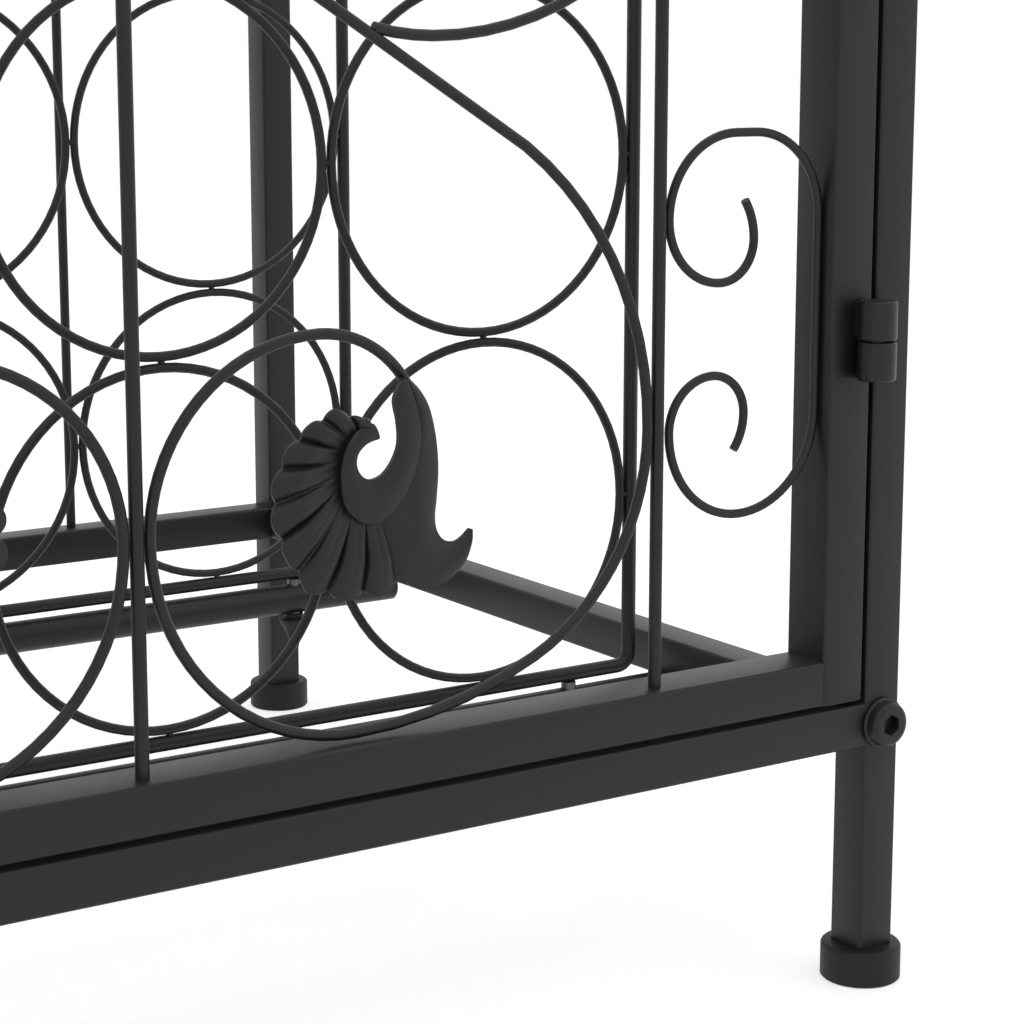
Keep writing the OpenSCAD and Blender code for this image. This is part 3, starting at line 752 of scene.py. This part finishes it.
midLow, midHigh = (v / mm for v in span("right_middle_rings"))
midX = (midLow.x + midHigh.x) / 2
bigR = (midHigh.x - midLow.x) / 2 - scrollR
smallD = ((midHigh.z - midLow.z) - 2 * (bigR + scrollR)) / 2
smallRise = bigR + scrollR + 0.25 + smallD / 2
for left in (True, False):
    node = "left_middle_rings" if left else "right_middle_rings"
    routes = [circleRoute(midX, doorMidZ, bigR)]
    for side in (-1, 1):
        routes.append(circleRoute(midX, doorMidZ + side * smallRise, (smallD - 0.25) / 2 - scrollR))
    wires(node + "Wire", [flipped(r, left, False) for r in routes], scrollR, "door", [node], 20)

sideLow, sideHigh = (v / mm for v in span("side_rods"))
rodD = sideHigh.y - sideLow.y
for node, xs in (("side_rods", (sideLow.x + rodD / 2, sideHigh.x - rodD / 2)), ("centre_rod", (0,))):
    routes = [[(x, wireY, sideLow.z), (x, wireY, sideHigh.z)] for x in xs]
    wires(node + "Wire", routes, rodD / 2, "door", [node], 20)
print("door wires done")


# pressed leaf: three sheets, each between a left and a right edge; x and z from the leaf's middle

leafShape = {
    "sheet": 0.8,
    # crescent around the eye, from its upper tip to the hook
    "moonOuter": [(9.2, 25.6), (11.6, 18.4), (12.5, 12.5), (11.6, 6.7), (9.3, 0.7), (6.1, -3.6),
                  (2.5, -6.3), (-1.0, -7.0), (-4.6, -5.9), (-8.1, -2.0), (-9.0, 4.9), (-8.0, 9.9),
                  (-5.5, 13.9), (-2.5, 15.9), (-0.4, 16.1), (0.9, 14.6), (1.5, 12.7)],
    "moonInner": [(7.4, 25.2), (5.2, 21.2), (5.9, 16.4), (6.2, 12.6), (5.7, 9.6), (3.9, 6.3),
                  (1.6, 4.1), (-1.0, 3.3), (-3.1, 3.9), (-4.6, 5.5), (-5.1, 7.6), (-4.5, 9.7),
                  (-2.8, 11.3), (-1.2, 12.0), (-0.2, 12.2), (0.6, 12.3), (1.4, 12.4)],
    # folded tail on the right, from the upper tip to the upturned point
    "tailLeft": [(8.6, 25.6), (9.2, 19.0), (9.6, 12.5), (6.4, 6.0), (2.9, -1.0), (2.6, -7.5),
                 (4.7, -14.0), (6.0, -20.8), (9.2, -22.6), (13.2, -24.5), (18.0, -24.4),
                 (22.6, -22.2), (26.0, -19.2), (27.6, -15.0), (27.3, -11.7)],
    "tailRight": [(10.0, 26.0), (13.4, 22.6), (15.9, 18.4), (17.4, 12.8), (18.1, 7.4), (18.2, 2.2),
                  (17.7, -3.8), (17.3, -7.6), (17.7, -10.6), (19.0, -12.8), (20.8, -13.9),
                  (23.0, -14.1), (25.0, -13.2), (26.2, -12.2), (27.0, -11.5)],
    "petalAngles": [98, 116, 134, 152, 171, 190, 210, 231, 253, 276],
    "petalReach": [17.6, 22.4, 23.6, 25.2, 26.4, 26.6, 26.2, 27.6, 25.6, 24.4],
    "petalNotch": 0.92,     # how far the notch between two petals reaches, as a share of theirs
    "puff": 3.5,
}


def smoothLine(points, count):
    # Catmull-Rom through the points, evenly in parameter
    pts = [Vector((p[0], 0, p[1])) for p in points]
    line = []
    for i in range(count):
        t = i / (count - 1) * (len(pts) - 1)
        k = min(int(t), len(pts) - 2)
        f = t - k
        a, b, c, d = (pts[max(0, min(len(pts) - 1, k + o))] for o in (-1, 0, 1, 2))
        line.append(0.5 * (2 * b + (c - a) * f + (2 * a - 5 * b + 4 * c - d) * f ** 2
                           + (3 * b - a - 3 * c + d) * f ** 3))
    return line


def sheetBetween(edgeA, edgeB, across, height, thick):
    # a closed sheet: height(u, v) lifts it towards the front, thick is behind it
    along = len(edgeA)
    front, back = [], []
    for i in range(along):
        for j in range(across):
            v = j / (across - 1)
            p = edgeA[i].lerp(edgeB[i], v)
            lift = height(i / (along - 1), v)
            front.append(Vector((p.x, -lift, p.z)))
            back.append(Vector((p.x, -lift + thick, p.z)))
    n = len(front)
    faces = []
    for i in range(along - 1):
        for j in range(across - 1):
            a, b = i * across + j, (i + 1) * across + j
            faces.append([a, b, b + 1, a + 1])
            faces.append([n + a, n + a + 1, n + b + 1, n + b])
    rim = [i * across for i in range(along)] + [(along - 1) * across + j for j in range(1, across)]
    rim += [i * across + across - 1 for i in range(along - 2, -1, -1)] + list(range(across - 2, 0, -1))
    for i, a in enumerate(rim):
        b = rim[(i + 1) % len(rim)]
        faces.append([a, n + a, n + b, b])
    return front + back, outwards(front + back, faces)


def petalPhase(angle):
    # which petal an angle is in, and how far from that petal's middle: 0 there, 1 in the crease
    angles = leafShape["petalAngles"]
    for i in range(len(angles) - 1):
        if angle <= angles[i + 1]:
            f = (angle - angles[i]) / (angles[i + 1] - angles[i])
            return (i, 2 * f) if f < 0.5 else (i + 1, 2 * (1 - f))
    return len(angles) - 1, 2 * (angle - angles[-1]) / (angles[-1] - angles[-2])


def fanSheet():
    angles, reach = leafShape["petalAngles"], leafShape["petalReach"]
    count, across = 181, 15
    first, last = angles[0] - 8, angles[-1] + 14
    inner, outer, phases = [], [], []
    for i in range(count):
        angle = first + (last - first) * i / (count - 1)
        petal, phase = petalPhase(max(angle, angles[0]))
        if angle < angles[0]:
            phase = 2 * (angles[0] - angle) / 18
        phase = min(phase, 1)
        below = max(k for k in range(len(angles)) if angles[k] <= max(angle, angles[0]))
        above = min(below + 1, len(angles) - 1)
        gap = max(angles[above] - angles[below], 1)
        f = min(max((angle - angles[below]) / gap, 0), 1)
        r = reach[below] * (1 - f) + reach[above] * f
        r *= 1 - (1 - leafShape["petalNotch"]) * phase ** 2.4
        a = math.radians(angle)
        outer.append(Vector((r * math.cos(a), 0, r * math.sin(a))))
        inner.append(Vector((6.3 * math.cos(a) - 1, 0, 7.5 * math.sin(a) + 5.2)))
        phases.append(phase)

    def height(u, v):
        phase = phases[round(u * (count - 1))]
        fade = min(1, max(0, (v - 0.12) * 1.9))        # smooth beside the crescent
        ridge = leafShape["puff"] * math.sqrt(max(0.0, 1 - phase ** 2)) * fade
        dish = 0.5 * math.sin(math.pi * v) * (1 - phase) ** 2
        return 0.9 + 1.1 * math.cos(0.5 * math.pi * v) + ridge * (1 - 0.55 * v ** 4) - dish

    return sheetBetween(inner, outer, across, height, leafShape["sheet"])


def moonSheet():
    count = 120
    outer = smoothLine(leafShape["moonOuter"], count)
    inner = smoothLine(leafShape["moonInner"], count)

    def height(u, v):
        edge = math.sin(math.pi * min(1, max(0, u))) ** 0.4
        return 3.0 + edge * (1.5 * math.sin(math.pi * (0.12 + 0.76 * v)) + 0.5 * (1 - v))

    return sheetBetween(inner, outer, 12, height, leafShape["sheet"] + 0.5)


def tailSheet():
    count = 140
    left = smoothLine(leafShape["tailLeft"], count)
    right = smoothLine(leafShape["tailRight"], count)

    def height(u, v):
        body = math.sin(math.pi * (0.06 + 0.9 * v)) ** 0.75
        swell = 0.75 + 0.55 * math.sin(math.pi * min(1, u * 1.15))
        fold = 0.9 * math.exp(-((v - 0.42) / 0.09) ** 2) * max(0, 1 - 1.7 * u)
        return 1.0 + 2.1 * body * swell - fold

    return sheetBetween(left, right, 16, height, leafShape["sheet"])


leafShift = Vector((55.8, 0, 59.0))       # the leaf's middle from the low corner of its scroll
leafBack = span("lower_right_leaf")[1].y / mm
leafPoints, leafFaces = joined(fanSheet(), moonSheet(), tailSheet())
for left, upper in quarters:
    middle = Vector((scrollLow.x, leafBack, scrollLow.z)) + leafShift
    points = []
    for p in leafPoints:
        x, z = middle.x + p.x, middle.z + p.z
        points.append((-x if left else x, middle.y + p.y, 2 * doorMidZ - z if upper else z))
    faces = [f[::-1] for f in leafFaces] if left != upper else leafFaces
    node = quarterName(left, upper) + "leaf"
    meshObject(node + "Sheet", points, faces, powderCoat, "door", [node], 40)
print("leaves done")


# hinges, knob, latch

hingeLook = {"endRound": 0.7}


def barrel(radius, height, round):
    profile = [(radius - round, 0)]
    for i in range(1, 5):
        a = math.pi / 2 * i / 4
        profile.append((radius - round + round * math.sin(a), round - round * math.cos(a)))
    for i in range(0, 5):
        a = math.pi / 2 * i / 4
        profile.append((radius - round + round * math.cos(a), height - round + round * math.sin(a)))
    return lathe(profile, 48)


hinge = next(j for j in frame["joints"] if j["name"] == "door_hinge")
hingeX, hingeY = hinge["pos_m"][0] / mm, hinge["pos_m"][1] / mm
for body, node, upward in (("frame", "post_knuckles", False), ("door", "door_knuckles", True)):
    low, high = (v / mm for v in span(node))
    radius = hingeY - low.y
    height = 10.2
    foot = frontY - hingeY
    if upward:
        pad = roundedBar(Vector((-3.7, 2.5, 0.6)), Vector((2.4, foot, height - 0.6)), 0.5, None)
    else:
        pad = roundedBar(Vector((3.7, 2.0, 0.6)), Vector((high.x - hingeX, foot, height - 0.6)), 0.5, None)
    shape = joined(barrel(radius, height, hingeLook["endRound"]), pad)
    places = [((hingeX, hingeY, z), (0, 0, 0)) for z in (low.z, high.z - height)]
    copies(node + "Barrel", shape, places, body, [node], powderCoat)

knobLow, knobHigh = (v / mm for v in span("door_knob"))
knobProfile = [(4.8, 0), (4.9, 0.2), (4.8, 0.8), (3.4, 1.2), (2.9, 2.2), (2.9, 3.4), (3.6, 4.3), (5.2, 5.2),
               (5.9, 6.4), (6.0, 7.2), (5.7, 8.4), (4.9, 9.3), (3.4, 9.8), (1.6, 10.0)]
copies("doorKnob", lathe(knobProfile, 48),
       [(((knobLow.x + knobHigh.x) / 2, knobHigh.y, (knobLow.z + knobHigh.z) / 2), (math.pi / 2, 0, 0))],
       "door", ["door_knob"], powderCoat)


def latchShape():
    # a plate with round ends and a softened rim, pivot at the origin
    low, high = (v / mm for v in span("turn_latch"))
    r, length, steps = (high.x - low.x) / 2, (high.z - low.z) - (high.x - low.x), 24
    outline = []
    for i in range(steps + 1):
        a = math.pi * i / steps
        outline.append((math.cos(a), math.sin(a), 0))
    for i in range(steps + 1):
        a = math.pi + math.pi * i / steps
        outline.append((math.cos(a), math.sin(a), -length))
    rings = []
    for inset, depth in ((0.4, 1.0), (0, 1.4), (0, 2.6), (0.15, 2.85), (0.5, 3.0)):
        rings.append([Vector((c * (r - inset), -depth, s * (r - inset) + shift)) for c, s, shift in outline])
    boss = lathe([(4.5, 0), (4.5, 1.1)], 32)
    boss = ([Vector((p.x, -p.z, p.y)) for p in boss[0]], [f[::-1] for f in boss[1]])
    points, faces = joined(stackedRings(rings), boss)
    return points, outwards(points, faces)


latch = next(j for j in frame["joints"] if j["name"] == "latch_turn")
latchBack = span("turn_latch")[1].y / mm
copies("turnLatch", latchShape(),
       [((latch["pos_m"][0] / mm, latchBack, latch["pos_m"][2] / mm), (0, 0, 0))],
       "latch", ["turn_latch"], powderCoat)
print("hinges, knob and latch done")


# nodes kept from the frame

for node, material in (("rack_studs", zincSteel), ("rail_inserts", zincSteel), ("hinge_pins", zincSteel),
                       ("latch_screw", zincSteel), ("door_stops", powderCoat)):
    mesh = frame["nodes"][node].data
    mesh.materials.clear()
    mesh.materials.append(material)


# floor, light and camera

studio = {"world": 0.55, "key": 7.0, "fill": 4.0, "top": 8.0, "floor": 0.86, "floorGlow": 0.58}
camera = {"place": (-221.4, -643.9, 253.4), "yaw": 33.373, "pitch": 9.719, "lens": 85.364,
          "shift": (0.0234, -0.05)}


def showsInCamera(tree):
    # 1 for camera, glossy and transmission rays
    path = tree.nodes.new("ShaderNodeLightPath")
    total = path.outputs["Is Camera Ray"]
    for kind in ("Is Glossy Ray", "Is Transmission Ray"):
        add = tree.nodes.new("ShaderNodeMath")
        add.operation = "ADD"
        add.use_clamp = True
        tree.links.new(total, add.inputs[0])
        tree.links.new(path.outputs[kind], add.inputs[1])
        total = add.outputs[0]
    return total


def makeWorld():
    world = bpy.data.worlds.new("studio")
    bpy.context.scene.world = world
    world.use_nodes = True
    tree = world.node_tree
    background = tree.nodes["Background"]
    background.inputs["Color"].default_value = (1, 1, 1, 1)
    strength = tree.nodes.new("ShaderNodeMapRange")
    strength.inputs["To Min"].default_value = studio["world"]
    strength.inputs["To Max"].default_value = 1.0
    tree.links.new(showsInCamera(tree), strength.inputs["Value"])
    tree.links.new(strength.outputs["Result"], background.inputs["Strength"])


def makeFloor():
    size = 6000
    floor = meshObject("floor", [(-size, -size, 0), (size, -size, 0), (size, size, 0), (-size, size, 0)],
                       [[0, 1, 2, 3]], None)
    material = bpy.data.materials.new("paleFloor")
    material.use_nodes = True
    tree = material.node_tree
    shader = tree.nodes["Principled BSDF"]
    shader.inputs["Base Color"].default_value = (studio["floor"],) * 3 + (1,)
    shader.inputs["Roughness"].default_value = 0.9
    shader.inputs["Specular IOR Level"].default_value = 0.0
    shader.inputs["Emission Color"].default_value = (1, 1, 1, 1)
    glow = tree.nodes.new("ShaderNodeMath")
    glow.operation = "MULTIPLY"
    glow.inputs[1].default_value = studio["floorGlow"]
    tree.links.new(showsInCamera(tree), glow.inputs[0])
    tree.links.new(glow.outputs[0], shader.inputs["Emission Strength"])
    floor.data.materials.clear()
    floor.data.materials.append(material)


def areaLight(name, place, target, size, power):
    data = bpy.data.lights.new(name, "AREA")
    data.shape = "SQUARE"
    data.size = size
    data.energy = power
    lamp = bpy.data.objects.new(name, data)
    lamp.location = place
    lamp.rotation_euler = (Vector(target) - Vector(place)).to_track_quat("-Z", "Y").to_euler()
    bpy.context.collection.objects.link(lamp)


makeWorld()
makeFloor()
areaLight("keyLight", (-1.6, -2.0, 2.4), (0, 0, 0.4), 1.8, studio["key"])
areaLight("fillLight", (1.8, -1.6, 1.4), (0, 0, 0.4), 1.6, studio["fill"])
areaLight("topLight", (0.2, 0.4, 2.8), (0, 0, 0.5), 2.0, studio["top"])

lens = bpy.data.cameras.new("camera")
lens.lens = camera["lens"]
lens.sensor_width = 36
lens.shift_x, lens.shift_y = camera["shift"]
lens.clip_start = 0.01
viewer = bpy.data.objects.new("camera", lens)
viewer.location = Vector(camera["place"]) * mm
viewer.rotation_euler = (math.radians(90 - camera["pitch"]), 0, -math.radians(camera["yaw"]))
bpy.context.collection.objects.link(viewer)
bpy.context.scene.camera = viewer
bpy.context.scene.view_settings.view_transform = "Standard"
print("studio ready")
